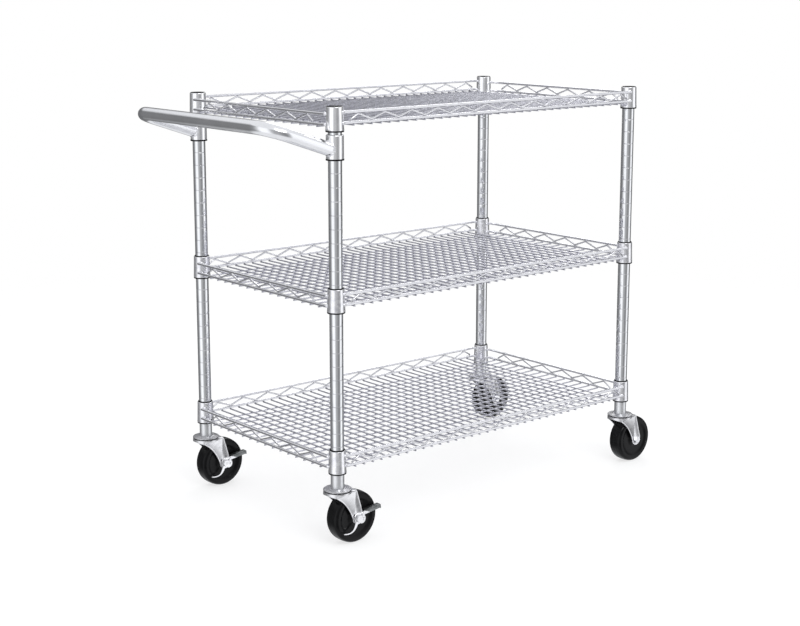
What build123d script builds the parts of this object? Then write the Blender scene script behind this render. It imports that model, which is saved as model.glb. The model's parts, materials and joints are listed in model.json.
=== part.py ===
from build123d import *
from math import atan2, cos, hypot, radians, sin
import os

# Rolling utility cart: three tray-style wire shelves on four grooved posts, a tubular
# push handle at the rear, and four stem casters, the two at the rear with brakes.
# Millimetres. +Z is up, +X points away from the handle. The origin is on the floor,
# under the middle of the whole cart's box. All four casters trail towards +X.

INCH = 25.4

# Posts
POST_SPAN_X = 781.0
POST_SPAN_Y = 443.0
POST_R = INCH / 2
POST_WALL = 1.6
POST_FOOT = 111.5
POST_TOP = 817.5
GROOVE_DEPTH = 0.8
GROOVE_HALF_WIDTH = 1.1
GROOVE_COUNT = 26
CAP_THICKNESS = 2.0
CAP_PLUG = 12.0
CAP_ROUND = 0.8
INSERT_LENGTH = 28.0

# Shelf collars and the split plastic sleeves that wedge them on the posts
BOTTOM_SHELF_Z = 141.5
SHELF_HEIGHTS = {
    "bottom_shelf": BOTTOM_SHELF_Z,
    "middle_shelf": BOTTOM_SHELF_Z + 12 * INCH,
    "top_shelf": BOTTOM_SHELF_Z + 25 * INCH,
}
COLLAR_HEIGHT = 42.4
COLLAR_R_FOOT = 17.0
COLLAR_R_TOP = 15.7
COLLAR_TOP_ROUND = 0.9
COLLAR_FOOT_ROUND = 0.5
SLEEVE_R_FOOT = 15.4
SLEEVE_R_TOP = 14.4
SLEEVE_BORE = POST_R + 0.05
SLEEVE_LIP_R = 16.8
SLEEVE_LIP = 2.6
SLEEVE_RISE = 1.0
SLEEVE_BEAD = GROOVE_DEPTH - 0.05
SLEEVE_SPLIT = 1.0

# Shelf wires, with heights above the collar's foot
RAIL_R = 2.75
RAIL_OFFSET = 15.0
RAIL_SHORTFALL = 9.0
LONG_RAIL_Z = (13.6, 32.8)
SHORT_RAIL_Z = (10.4, 29.6)
TRUSS_R = 1.75
TRUSS_PITCH = 2.5 * INCH
TRUSS_TAIL = 0.75 * INCH
TRUSS_BEND_R = 5.0
LONG_TRUSS_PEAKS = 12
SHORT_TRUSS_PEAKS = 6
DECK_R = 1.6
CROSS_WIRES = 35
CROSS_PITCH = INCH / 1.2
LONG_WIRES = 16
LONG_PITCH = INCH
DECK_OVERHANG = 2.5

# Push handle
HANDLE_REACH = 142.0
HANDLE_TILT = 18.7
HANDLE_ROOT_Z = 739.7
HANDLE_BEND_R = 44.0
HANDLE_TUBE_R = INCH / 2
HANDLE_TUBE_WALL = 1.4
HANDLE_COLLAR_FOOT = BOTTOM_SHELF_Z + 23 * INCH
HANDLE_COLLAR_HEIGHT = 43.3
HANDLE_COLLAR_R = 16.2
HANDLE_SHOULDER = 1.6
HANDLE_ROOT = 0.6 * HANDLE_COLLAR_R

# Casters, with places counted from each swivel axis
WHEEL_R = 50.0
WHEEL_HALF_WIDTH = 16.0
WHEEL_BORE = 6.05
WHEEL_BOSS_R = 12.5
WHEEL_DISH = 2.5
WHEEL_DISH_R = (19.0, 35.0)
WHEEL_RIM_R = (38.5, 42.5)
TREAD_SHOULDER = ((2.4, 47.3), (7.5, 49.4))
TREAD_CROWN = (12.0, 49.87)
TRAIL = 32.0
AXLE_Z = WHEEL_R
LEG_INSIDE = 18.0
LEG_THICKNESS = 3.0
LEG_END_R = 12.5
LEG_REAR = -17.0
LEG_SKIRT_Z = 97.0
LEG_WAIST = (5.0, 77.5)
CROWN_FOOT = 102.0
CROWN_TOP = 106.0
CROWN_R = 27.0
CROWN_NOSE = 30.0
CROWN_ROUND = 1.8
PLATE_FOOT = 107.8
PLATE_THICKNESS = 2.5
PLATE_HUB_R = 14.5
PLATE_EDGE = 0.7
PLATE_CONE = 0.6
STEM_R = 6.0
STEM_HEAD_R = 9.0
STEM_HEAD = 4.1
STEM_CHAMFER = 1.0
RUN_CLEARANCE = 0.05
SIDE_CLEARANCE = 0.3
BALL_R = 2.0
BALL_COUNT = 14
BALL_PITCH_R = 20.0
RACE_R = 2.1
BOLT_R = 4.0
HEX_ACROSS_FLATS = 13.0
HEX_CHAMFER = 0.6
BOLT_FLANGE_R = 8.0
BOLT_FLANGE = 1.6
BOLT_REACH = 28.2
PLAIN_NUT = 5.0

# Wheel brake, with places counted from the axle
LEVER_THICKNESS = 2.0
LEVER_HUB_R = 10.5
LEVER_CAM = (8.0, -3.0)
LEVER_CAM_R = 8.5
LEVER_ARM = [(-3.0, 8.5), (13.0, 11.9), (42.0, 15.9), (42.0, 9.5), (30.0, 7.0), (14.0, 4.5), (8.0, -5.0)]
LEVER_ARM_ROUND = 1.5
TAIL_BACK = [(-8.0, -5.0), (-15.5, -21.8), (-34.0, -22.6)]
TAIL_TIP = [(-34.0, -22.6), (-36.0, -24.2), (-34.8, -25.8)]
TAIL_FRONT = [(-34.8, -25.8), (-13.5, -25.6), (-2.0, -9.0)]
LOBE_RISE = 1.6
LOBES = [((10.5, 6.5), 9.2, 6.4, 32), ((12.0, -3.5), 6.4, 4.8, -16)]
PEDAL_ROOT = (14.0, 14.5)
PEDAL_TIP = (46.5, 19.0)
PEDAL_THICKNESS = 2.4
PEDAL_LIP = 8.5
PEDAL_NOSE = 1.0
PEDAL_SKIRT = [(2.0, -1.0), (4.0, -4.5), (10.0, -7.5)]
PEDAL_SKIRT_THICKNESS = 1.6
PEDAL_INSIDE = 17.6

# The four corners, seen by someone pushing the cart by its handle
CORNERS = {
    "rear_right": (-1, -1),
    "rear_left": (-1, 1),
    "front_left": (1, 1),
    "front_right": (1, -1),
}
BRAKED = ("rear_right", "rear_left")

# The cart's box reaches from the handle's bar to the front wheels' rims
GRID_X = (HANDLE_REACH + HANDLE_TUBE_R - TRAIL - WHEEL_R) / 2


def post_point(corner):
    """A post's axis on the floor plane."""
    side_x, side_y = CORNERS[corner]
    return (GRID_X + side_x * POST_SPAN_X / 2, side_y * POST_SPAN_Y / 2, 0)


POST_POINTS = [post_point(corner) for corner in CORNERS]
REAR_POINTS = [post_point(corner) for corner in BRAKED]


def write(part, name):
    """Label one finished piece and write its STEP file."""
    part.label = name
    export_step(part, f"parts/{name}.step")


def turned(outline):
    """A solid of revolution about Z from a closed outline of (radius, height) points."""
    with BuildPart() as solid:
        with BuildSketch(Plane.XZ):
            with BuildLine():
                Polyline(*outline, close=True)
            make_face()
        revolve(axis=Axis.Z)
    return solid.part


def copies(part, points):
    """One node of separate, identical solids, one at each point."""
    with BuildPart() as group:
        with Locations(*points):
            add(part)
    return group.part


# ---------------------------------------------------------------- posts

def post():
    """A steel tube with a shallow V groove every inch, for the sleeves' beads."""
    outline = [(POST_R - POST_WALL, POST_FOOT), (POST_R, POST_FOOT)]
    for step in range(1, GROOVE_COUNT + 1):
        groove = BOTTOM_SHELF_Z + step * INCH
        outline += [
            (POST_R, groove - GROOVE_HALF_WIDTH),
            (POST_R - GROOVE_DEPTH, groove),
            (POST_R, groove + GROOVE_HALF_WIDTH),
        ]
    outline += [(POST_R, POST_TOP), (POST_R - POST_WALL, POST_TOP)]
    return turned(outline)


def post_cap():
    """A plastic plug that closes the top of a post."""
    plug_r = POST_R - POST_WALL - RUN_CLEARANCE
    with BuildPart() as cap:
        with BuildSketch(Plane.XY.offset(POST_TOP)):
            Circle(POST_R)
        extrude(amount=CAP_THICKNESS)
        fillet(cap.edges().group_by(Axis.Z)[-1], CAP_ROUND)
        with BuildSketch(Plane.XY.offset(POST_TOP)):
            Circle(plug_r)
        extrude(amount=-CAP_PLUG)
    return cap.part


def post_insert():
    """The pressed-in nut at a post's foot that the caster's stem screws into."""
    with BuildPart() as insert:
        with BuildSketch(Plane.XY.offset(POST_FOOT)):
            Circle(POST_R - POST_WALL)
            Circle(STEM_R, mode=Mode.SUBTRACT)
        extrude(amount=INSERT_LENGTH)
    return insert.part


# ---------------------------------------------------------------- shelves

def outer_rims(ring):
    """A collar's outer circular edges, lowest first."""
    circles = ring.edges().filter_by(GeomType.CIRCLE)
    return circles.filter_by(lambda edge: edge.radius > SLEEVE_R_FOOT).sort_by(Axis.Z)


def collar():
    """A tapered steel collar, standing on Z = 0."""
    with BuildPart() as ring:
        add(turned([
            (SLEEVE_R_FOOT, 0),
            (COLLAR_R_FOOT, 0),
            (COLLAR_R_TOP, COLLAR_HEIGHT),
            (SLEEVE_R_TOP, COLLAR_HEIGHT),
        ]))
        rims = outer_rims(ring)
        fillet(rims[-1], COLLAR_TOP_ROUND)
        fillet(rims[0], COLLAR_FOOT_ROUND)
    return ring.part


def sleeve_halves():
    """Two half sleeves between a post and its collar, each with a bead for one groove."""
    with BuildPart() as halves:
        add(turned([
            (SLEEVE_BORE, -SLEEVE_LIP),
            (SLEEVE_LIP_R, -SLEEVE_LIP),
            (SLEEVE_LIP_R, 0),
            (SLEEVE_R_FOOT, 0),
            (SLEEVE_R_TOP, COLLAR_HEIGHT),
            (SLEEVE_R_TOP, COLLAR_HEIGHT + SLEEVE_RISE),
            (SLEEVE_BORE, COLLAR_HEIGHT + SLEEVE_RISE),
            (SLEEVE_BORE, INCH + GROOVE_HALF_WIDTH),
            (SLEEVE_BORE - SLEEVE_BEAD, INCH),
            (SLEEVE_BORE, INCH - GROOVE_HALF_WIDTH),
        ]))
        with Locations((0, 0, COLLAR_HEIGHT / 2)):
            Box(SLEEVE_SPLIT, 4 * SLEEVE_LIP_R, 2 * COLLAR_HEIGHT, mode=Mode.SUBTRACT)
    return halves.part


def rails():
    """The double perimeter wires, notched where they are welded to the collars."""
    long_length = POST_SPAN_X - 2 * RAIL_SHORTFALL
    short_length = POST_SPAN_Y - 2 * RAIL_SHORTFALL
    side_y = POST_SPAN_Y / 2 + RAIL_OFFSET
    side_x = POST_SPAN_X / 2 + RAIL_OFFSET
    with BuildPart() as wires:
        with Locations(*[(GRID_X, side * side_y, z) for side in (-1, 1) for z in LONG_RAIL_Z]):
            Cylinder(RAIL_R, long_length, rotation=(0, 90, 0))
        with Locations(*[(GRID_X + side * side_x, 0, z) for side in (-1, 1) for z in SHORT_RAIL_Z]):
            Cylinder(RAIL_R, short_length, rotation=(90, 0, 0))
        with Locations(*POST_POINTS):
            Cone(
                COLLAR_R_FOOT,
                COLLAR_R_TOP,
                COLLAR_HEIGHT,
                align=(Align.CENTER, Align.CENTER, Align.MIN),
                mode=Mode.SUBTRACT,
            )
    return wires.part


def truss_wire(plane, peaks, rail_heights):
    """A wire bent into a zigzag whose bends touch the rails above and below it."""
    run = TRUSS_PITCH / 2
    valley = rail_heights[0] + RAIL_R + TRUSS_R
    peak = rail_heights[1] - RAIL_R - TRUSS_R
    slope = atan2(peak - valley, run)
    overshoot = TRUSS_BEND_R * (1 / cos(slope) - 1)
    heights = (peak + overshoot, valley - overshoot)
    points = [((step - peaks + 1) * run, heights[step % 2]) for step in range(2 * peaks - 1)]
    end = points[-1][0] + TRUSS_TAIL
    points = [(-end, valley), *points, (end, valley)]
    with BuildPart() as wire:
        with BuildLine(plane) as path:
            FilletPolyline(*points, radius=TRUSS_BEND_R)
        with BuildSketch(Plane(origin=path.line @ 0, z_dir=path.line % 0)):
            Circle(TRUSS_R)
        sweep()
    return wire.part


def truss_wires():
    """The four zigzag wires, each in the plane of its side's rails."""
    side_y = POST_SPAN_Y / 2 + RAIL_OFFSET
    side_x = POST_SPAN_X / 2 + RAIL_OFFSET
    with BuildPart() as wires:
        with Locations((GRID_X, -side_y, 0), (GRID_X, side_y, 0)):
            add(truss_wire(Plane.XZ, LONG_TRUSS_PEAKS, LONG_RAIL_Z))
        with Locations((GRID_X - side_x, 0, 0), (GRID_X + side_x, 0, 0)):
            add(truss_wire(Plane.YZ, SHORT_TRUSS_PEAKS, SHORT_RAIL_Z))
    return wires.part


def cross_wires():
    """The deck's upper wires, across the cart, under the long rails."""
    length = POST_SPAN_Y + 2 * (RAIL_OFFSET + DECK_OVERHANG)
    height = LONG_RAIL_Z[0] - RAIL_R - DECK_R
    with BuildPart() as wires:
        with Locations((GRID_X, 0, height)):
            with GridLocations(CROSS_PITCH, 0, CROSS_WIRES, 1):
                Cylinder(DECK_R, length, rotation=(90, 0, 0))
    return wires.part


def long_wires():
    """The deck's lower wires, along the cart, under the short rails."""
    length = POST_SPAN_X + 2 * (RAIL_OFFSET + DECK_OVERHANG)
    height = SHORT_RAIL_Z[0] - RAIL_R - DECK_R
    with BuildPart() as wires:
        with Locations((GRID_X, 0, height)):
            with GridLocations(0, LONG_PITCH, 1, LONG_WIRES):
                Cylinder(DECK_R, length, rotation=(0, 90, 0))
    return wires.part


# ---------------------------------------------------------------- handle

def handle_collar():
    """A straight collar with rounded shoulders, standing on Z = 0."""
    with BuildPart() as ring:
        add(turned([
            (SLEEVE_R_FOOT, 0),
            (HANDLE_COLLAR_R, 0),
            (HANDLE_COLLAR_R, HANDLE_COLLAR_HEIGHT),
            (SLEEVE_R_TOP, HANDLE_COLLAR_HEIGHT),
            (SLEEVE_R_TOP, COLLAR_HEIGHT),
        ]))
        rims = outer_rims(ring)
        fillet(rims[-1], HANDLE_SHOULDER)
        fillet(rims[0], COLLAR_FOOT_ROUND)
    return ring.part


def handle_bar():
    """A U of round tube, tilted upwards, its ends coped to the handle collars."""
    tilt = radians(HANDLE_TILT)
    rear_x = GRID_X - POST_SPAN_X / 2
    plane = Plane(
        origin=(rear_x, 0, HANDLE_ROOT_Z),
        x_dir=(-cos(tilt), 0, sin(tilt)),
        z_dir=(-sin(tilt), 0, -cos(tilt)),
    )
    reach = HANDLE_REACH / cos(tilt)
    side = POST_SPAN_Y / 2
    corners = [(HANDLE_ROOT, -side), (reach, -side), (reach, side), (HANDLE_ROOT, side)]
    with BuildPart() as bar:
        with BuildLine(plane) as path:
            FilletPolyline(*corners, radius=HANDLE_BEND_R)
        with BuildSketch(Plane(origin=path.line @ 0, z_dir=path.line % 0)):
            Circle(HANDLE_TUBE_R)
            Circle(HANDLE_TUBE_R - HANDLE_TUBE_WALL, mode=Mode.SUBTRACT)
        sweep()
        with Locations(*[(x, y, HANDLE_COLLAR_FOOT) for x, y, _ in REAR_POINTS]):
            Cylinder(
                HANDLE_COLLAR_R,
                HANDLE_COLLAR_HEIGHT,
                align=(Align.CENTER, Align.CENTER, Align.MIN),
                mode=Mode.SUBTRACT,
            )
    return bar.part


# ---------------------------------------------------------------- casters

def caster_stem():
    """Kingpin and threaded stud in one: its head carries the fork, its shank fills the insert."""
    head_top = CROWN_FOOT - SIDE_CLEARANCE
    with BuildPart() as stem:
        add(turned([
            (0, head_top - STEM_HEAD),
            (STEM_HEAD_R, head_top - STEM_HEAD),
            (STEM_HEAD_R, head_top),
            (STEM_R, head_top),
            (STEM_R, POST_FOOT + INSERT_LENGTH),
            (0, POST_FOOT + INSERT_LENGTH),
        ]))
        chamfer(stem.edges().group_by(Axis.Z)[0], STEM_CHAMFER)
        chamfer(stem.edges().group_by(Axis.Z)[-1], STEM_CHAMFER)
    return stem.part


def race_groove(height):
    """The ring that a ball race is cut with, centred on the given height."""
    with BuildPart() as ring:
        with BuildSketch(Plane.XZ):
            with Locations((BALL_PITCH_R, height)):
                Circle(RACE_R)
        revolve(axis=Axis.Z)
    return ring.part


def top_plate():
    """The fixed upper race: a coned plate that the post's foot stands on."""
    plate_top = PLATE_FOOT + PLATE_THICKNESS
    with BuildPart() as plate:
        add(turned([
            (STEM_R, PLATE_FOOT),
            (CROWN_R, PLATE_FOOT),
            (CROWN_R, plate_top - PLATE_EDGE),
            (CROWN_R - PLATE_EDGE, plate_top),
            (PLATE_HUB_R + PLATE_THICKNESS, plate_top + PLATE_CONE),
            (PLATE_HUB_R, POST_FOOT),
            (STEM_R, POST_FOOT),
        ]))
        add(race_groove(ball_height() - RUN_CLEARANCE), mode=Mode.SUBTRACT)
    return plate.part


def ball_height():
    """The height of the ball centres, half way between the plate and the crown."""
    return (PLATE_FOOT + CROWN_TOP) / 2


def swivel_balls():
    """The ring of bearing balls between the fork's crown and the top plate."""
    with BuildPart() as balls:
        with Locations((0, 0, ball_height())):
            with PolarLocations(BALL_PITCH_R, BALL_COUNT):
                Sphere(BALL_R)
    return balls.part


def fork():
    """The pressed-steel yoke: a round crown with a nose, and two legs down to the axle."""
    leg_outside = LEG_INSIDE + LEG_THICKNESS
    with BuildPart() as yoke:
        with BuildSketch(Plane.XY.offset(CROWN_FOOT)):
            Circle(CROWN_R)
            Rectangle(CROWN_NOSE, 2 * leg_outside, align=(Align.MIN, Align.CENTER))
        extrude(amount=CROWN_TOP - CROWN_FOOT)
        fillet(yoke.faces().sort_by(Axis.Z)[-1].edges(), CROWN_ROUND)
        leg_top = CROWN_TOP - CROWN_ROUND
        with BuildSketch(Plane.XZ.offset(LEG_INSIDE)):
            with BuildLine():
                rear = ThreePointArc((LEG_REAR, LEG_SKIRT_Z), LEG_WAIST, (TRAIL - LEG_END_R, AXLE_Z))
                end = ThreePointArc(rear @ 1, (TRAIL, AXLE_Z - LEG_END_R), (TRAIL + LEG_END_R, AXLE_Z))
                Polyline(end @ 1, (CROWN_NOSE, leg_top), (LEG_REAR, leg_top), rear @ 0)
            make_face()
        extrude(amount=LEG_THICKNESS)
        mirror(about=Plane.XZ)
        with BuildSketch(Plane.XY.offset(CROWN_FOOT)):
            Circle(STEM_R + RUN_CLEARANCE)
        extrude(amount=CROWN_TOP - CROWN_FOOT, mode=Mode.SUBTRACT)
        with BuildSketch(Plane.XZ.offset(-leg_outside)):
            with Locations((TRAIL, AXLE_Z)):
                Circle(BOLT_R + RUN_CLEARANCE)
        extrude(amount=2 * leg_outside, mode=Mode.SUBTRACT)
        add(race_groove(ball_height() + RACE_R - BALL_R), mode=Mode.SUBTRACT)
    return yoke.part


def axle_plane(y):
    """The upright plane across the axle at y, with its normal along -Y and its centre on the axle."""
    return Plane(origin=(TRAIL, y, AXLE_Z), x_dir=(1, 0, 0), z_dir=(0, -1, 0))


def axle_bolt(nut_face):
    """A flanged hex bolt across the fork, its head on the +Y side."""
    leg_outside = LEG_INSIDE + LEG_THICKNESS
    with BuildPart() as bolt:
        with BuildSketch(axle_plane(leg_outside)):
            Circle(BOLT_R)
        extrude(amount=leg_outside - nut_face)
        with BuildSketch(axle_plane(leg_outside)):
            Circle(BOLT_FLANGE_R)
        extrude(amount=-BOLT_FLANGE)
        with BuildSketch(axle_plane(leg_outside + BOLT_FLANGE)):
            RegularPolygon(HEX_ACROSS_FLATS / 2, 6, major_radius=False)
        extrude(amount=leg_outside + BOLT_FLANGE - BOLT_REACH)
        chamfer(bolt.faces().sort_by(Axis.Y)[-1].edges(), HEX_CHAMFER)
    return bolt.part


def axle_nut(inner_face, outer_face):
    """The hex nut at the bolt's -Y end, between two faces."""
    with BuildPart() as nut:
        with BuildSketch(axle_plane(inner_face)):
            RegularPolygon(HEX_ACROSS_FLATS / 2, 6, major_radius=False)
            Circle(BOLT_R, mode=Mode.SUBTRACT)
        extrude(amount=inner_face - outer_face)
        rim = nut.faces().sort_by(Axis.Y)[0].outer_wire().edges()
        chamfer(rim, HEX_CHAMFER)
    return nut.part


def axle_sleeve():
    """The spacer tube that the wheel turns on, clamped between the fork's legs."""
    with BuildPart() as sleeve:
        with BuildSketch(axle_plane(LEG_INSIDE)):
            Circle(WHEEL_BORE - RUN_CLEARANCE)
            Circle(BOLT_R + RUN_CLEARANCE, mode=Mode.SUBTRACT)
        extrude(amount=2 * LEG_INSIDE)
    return sleeve.part


def wheel():
    """A solid wheel: crowned tread, dished faces and a hub boss on each side."""
    boss = LEG_INSIDE - SIDE_CLEARANCE
    side = WHEEL_HALF_WIDTH
    shoulder = [(side - inset, radius) for inset, radius in TREAD_SHOULDER]
    crown = (side - TREAD_CROWN[0], TREAD_CROWN[1])
    with BuildPart() as disc:
        with BuildSketch(Plane(origin=(TRAIL, 0, AXLE_Z), x_dir=(0, 1, 0), z_dir=(1, 0, 0))):
            with BuildLine():
                face = Polyline(
                    (0, WHEEL_BORE),
                    (boss, WHEEL_BORE),
                    (boss, WHEEL_BOSS_R),
                    (boss - WHEEL_DISH, WHEEL_BOSS_R + WHEEL_DISH),
                    (side - WHEEL_DISH, WHEEL_DISH_R[0]),
                    (side - WHEEL_DISH, WHEEL_DISH_R[1]),
                    (side, WHEEL_RIM_R[0]),
                    (side, WHEEL_RIM_R[1]),
                )
                tread = ThreePointArc(face @ 1, *shoulder)
                ThreePointArc(tread @ 1, crown, (0, WHEEL_R))
                Line((0, WHEEL_R), (0, WHEEL_BORE))
            make_face()
            mirror(about=Plane.YZ)
        revolve(axis=Axis((TRAIL, 0, AXLE_Z), (0, 1, 0)))
    return disc.part


# ---------------------------------------------------------------- brakes

def lever_face():
    """The outer face of the fork's -Y leg, less the gap the lever turns in."""
    return -(LEG_INSIDE + LEG_THICKNESS + SIDE_CLEARANCE)


def brake_lever():
    """A stamped plate on the axle bolt: hub with two raised cam lobes, arm and curved tail."""
    with BuildPart() as lever:
        with BuildSketch(axle_plane(lever_face())):
            Circle(LEVER_HUB_R)
            with Locations(LEVER_CAM):
                Circle(LEVER_CAM_R)
            with BuildLine():
                Polyline(*LEVER_ARM, close=True)
            make_face()
            with BuildLine():
                back = ThreePointArc(*TAIL_BACK)
                ThreePointArc(*TAIL_TIP)
                front = ThreePointArc(*TAIL_FRONT)
                Line(front @ 1, back @ 0)
            make_face()
            Circle(BOLT_R + RUN_CLEARANCE, mode=Mode.SUBTRACT)
        extrude(amount=LEVER_THICKNESS)
        tip = lever.edges().filter_by(Axis.Y).sort_by(Axis.X)[-2:]
        fillet(tip, LEVER_ARM_ROUND)
        with BuildSketch(axle_plane(lever_face() - LEVER_THICKNESS)):
            for centre, length, width, angle in LOBES:
                with Locations(centre):
                    SlotOverall(length, width, rotation=angle)
        extrude(amount=LOBE_RISE)
        fillet(lever.faces().sort_by(Axis.Y)[:2].edges(), LOBE_RISE / 2)
    return lever.part


def brake_pedal():
    """The foot pedal: a tread along the lever's arm, its tip and its outer side turned down."""
    run = PEDAL_TIP[0] - PEDAL_ROOT[0]
    rise = PEDAL_TIP[1] - PEDAL_ROOT[1]
    length = hypot(run, rise)
    slope = atan2(rise, run)
    root = (TRAIL + PEDAL_ROOT[0], -BOLT_REACH, AXLE_Z + PEDAL_ROOT[1])
    along = (cos(slope), 0, sin(slope))
    with BuildPart() as pedal:
        with BuildSketch(Plane(origin=root, x_dir=along, z_dir=(0, -1, 0))):
            with BuildLine():
                Polyline(
                    (0, 0),
                    (length, 0),
                    (length + PEDAL_THICKNESS, -PEDAL_NOSE),
                    (length + PEDAL_THICKNESS, -PEDAL_LIP),
                    (length, -PEDAL_LIP),
                    (length, -PEDAL_THICKNESS),
                    (0, -PEDAL_THICKNESS),
                    close=True,
                )
            make_face()
        extrude(amount=-(BOLT_REACH - PEDAL_INSIDE))
        with BuildSketch(Plane(origin=root, x_dir=along, z_dir=(0, -1, 0))):
            with BuildLine():
                Polyline(*PEDAL_SKIRT, (length, PEDAL_SKIRT[-1][1]), (length, PEDAL_SKIRT[0][1]), close=True)
            make_face()
        extrude(amount=-PEDAL_SKIRT_THICKNESS)
    return pedal.part


def main():
    os.makedirs("parts", exist_ok=True)

    for corner in CORNERS:
        write(post().moved(Location(post_point(corner))), f"post_{corner}")
    write(copies(post_cap(), POST_POINTS), "post_caps")
    write(copies(post_insert(), POST_POINTS), "post_foot_inserts")

    shelf_pieces = {
        "collars": copies(collar(), POST_POINTS),
        "sleeve_halves": copies(sleeve_halves(), POST_POINTS),
        "rails": rails(),
        "truss_wires": truss_wires(),
        "cross_wires": cross_wires(),
        "long_wires": long_wires(),
    }
    for shelf, height in SHELF_HEIGHTS.items():
        for piece, part in shelf_pieces.items():
            write(part.moved(Location((0, 0, height))), f"{shelf}_{piece}")

    handle_lift = Location((0, 0, HANDLE_COLLAR_FOOT))
    write(handle_bar(), "handle_bar")
    write(copies(handle_collar(), REAR_POINTS).moved(handle_lift), "handle_collars")
    write(copies(sleeve_halves(), REAR_POINTS).moved(handle_lift), "handle_sleeve_halves")

    write(copies(caster_stem(), POST_POINTS), "caster_stems")
    write(copies(top_plate(), POST_POINTS), "caster_top_plates")

    common = {
        "caster_fork": fork(),
        "swivel_balls": swivel_balls(),
        "axle_sleeve": axle_sleeve(),
        "wheel": wheel(),
    }
    leg_outside = -(LEG_INSIDE + LEG_THICKNESS)
    plain = {
        "axle_bolt": axle_bolt(leg_outside - PLAIN_NUT),
        "axle_nut": axle_nut(leg_outside, leg_outside - PLAIN_NUT),
    }
    braked = {
        "axle_bolt": axle_bolt(-BOLT_REACH),
        "axle_nut": axle_nut(lever_face() - LEVER_THICKNESS - SIDE_CLEARANCE, -BOLT_REACH),
        "brake_lever": brake_lever(),
        "brake_pedal": brake_pedal(),
    }
    for corner in CORNERS:
        pieces = {**common, **(braked if corner in BRAKED else plain)}
        for piece, part in pieces.items():
            write(part.moved(Location(post_point(corner))), f"{piece}_{corner}")


main()
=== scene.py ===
"""The looks of the rolling utility cart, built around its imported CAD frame."""

import json
import math

import bmesh
import bpy
from mathutils import Matrix, Vector


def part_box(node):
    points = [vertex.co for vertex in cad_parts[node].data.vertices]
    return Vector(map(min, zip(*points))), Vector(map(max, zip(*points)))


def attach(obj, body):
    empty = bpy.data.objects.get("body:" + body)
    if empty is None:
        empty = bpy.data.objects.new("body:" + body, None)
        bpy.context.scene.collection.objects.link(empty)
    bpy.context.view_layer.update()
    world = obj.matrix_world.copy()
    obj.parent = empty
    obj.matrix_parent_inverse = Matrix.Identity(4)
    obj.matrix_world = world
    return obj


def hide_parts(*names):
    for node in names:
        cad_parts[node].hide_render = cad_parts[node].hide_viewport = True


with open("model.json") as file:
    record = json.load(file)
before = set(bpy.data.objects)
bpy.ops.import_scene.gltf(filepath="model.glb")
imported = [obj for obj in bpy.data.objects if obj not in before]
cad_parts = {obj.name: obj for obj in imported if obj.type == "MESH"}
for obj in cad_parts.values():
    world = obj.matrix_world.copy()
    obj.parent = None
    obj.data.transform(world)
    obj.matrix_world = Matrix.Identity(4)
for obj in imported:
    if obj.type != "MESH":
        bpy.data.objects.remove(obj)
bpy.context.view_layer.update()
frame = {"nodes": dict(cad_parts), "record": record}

# Lengths below are in millimetres, and MM turns them into the frame's metres
MM = 0.001
INCH = 25.4

CORNERS = ("rear_right", "rear_left", "front_left", "front_right")
BRAKED = ("rear_right", "rear_left")
SHELVES = ("bottom_shelf", "middle_shelf", "top_shelf")

# Posts: each groove is a run of (depth, height), and faces this deep take a darker chrome, painted shade in
# the grooves
POST_R = INCH / 2
POST_WALL = 1.6
POST_FOOT_ROUND = 0.4
POST_TOP_ROUND = 0.3
GROOVE_COUNT = 26
GROOVE = ((0.0, -0.9), (0.05, -0.6), (0.24, -0.12), (0.24, 0.12), (0.05, 0.6), (0.0, 0.9))
GROOVE_SHADE_DEPTHS = (0.03, 0.5)
CAP_ROUND = 0.8
CAP_PLUG_R = 10.9
CAP_PLUG_DEPTH = 12
CAP_DISH_R = 6.0
CAP_DISH_DEPTH = 0.4

# Wires of the shelves
RAIL_R = 2.75
RAIL_INSET = 9.0
TRUSS_R = 1.75
TRUSS_PITCH = 2.5 * INCH
TRUSS_TAIL = 0.75 * INCH
TRUSS_BEND_R = 5.0
LONG_PEAKS = 12
SHORT_PEAKS = 6
DECK_R = 1.6
CROSS_WIRES = 35
LONG_WIRES = 16
WELD_SINK = 0.3

# A rail's weld bead: its distance from the post's axis, its shift along the rail and inwards, and its radii
BEAD_INSET = 9.6
BEAD_ALONG = 1.5
BEAD_IN = 0.8
BEAD_SIZE = (3.6, 2.6, 3.3)
BEAD_TURN = 90

# Collars and the split sleeves inside them; the shoulder is (how far in, height)
COLLAR_HEIGHT = 42.4
COLLAR_R_FOOT = 17.0
COLLAR_R_TOP = 15.7
COLLAR_FOOT_ROUND = 0.5
COLLAR_TOP_ROUND = 0.9
COLLAR_SHOULDER = ((0.1, 3.2), (0.3, 4.2))
COLLAR_CROWN = (0.05, 1.2)
SLEEVE_R_FOOT = 15.4
SLEEVE_R_TOP = 14.4
SLEEVE_LIP_R = 16.8
SLEEVE_LIP = 2.6
SLEEVE_LIP_ROUND = 0.4
SLEEVE_RIM_ROUND = 0.3
SLEEVE_CLEARANCE = 0.05
SLEEVE_SLOT = 2.0
SLEEVE_RISE = 1.0
SLEEVE_RISE_LOWER = SLEEVE_RISE + 0.9

# The handle, its collars and the bead where they meet, rippled like a hand-laid weld
HANDLE_TILT = math.radians(18.7)
HANDLE_BEND_R = 44.0
HANDLE_INSET = 9.0
HANDLE_COLLAR_R = 16.2
HANDLE_SHOULDER = 1.6
HANDLE_BEAD_R = 1.35
HANDLE_BEAD_STEPS = 72
HANDLE_BEAD_LIFT = 0.3
HANDLE_RIPPLE = 0.25
HANDLE_RIPPLES = 18

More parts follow.
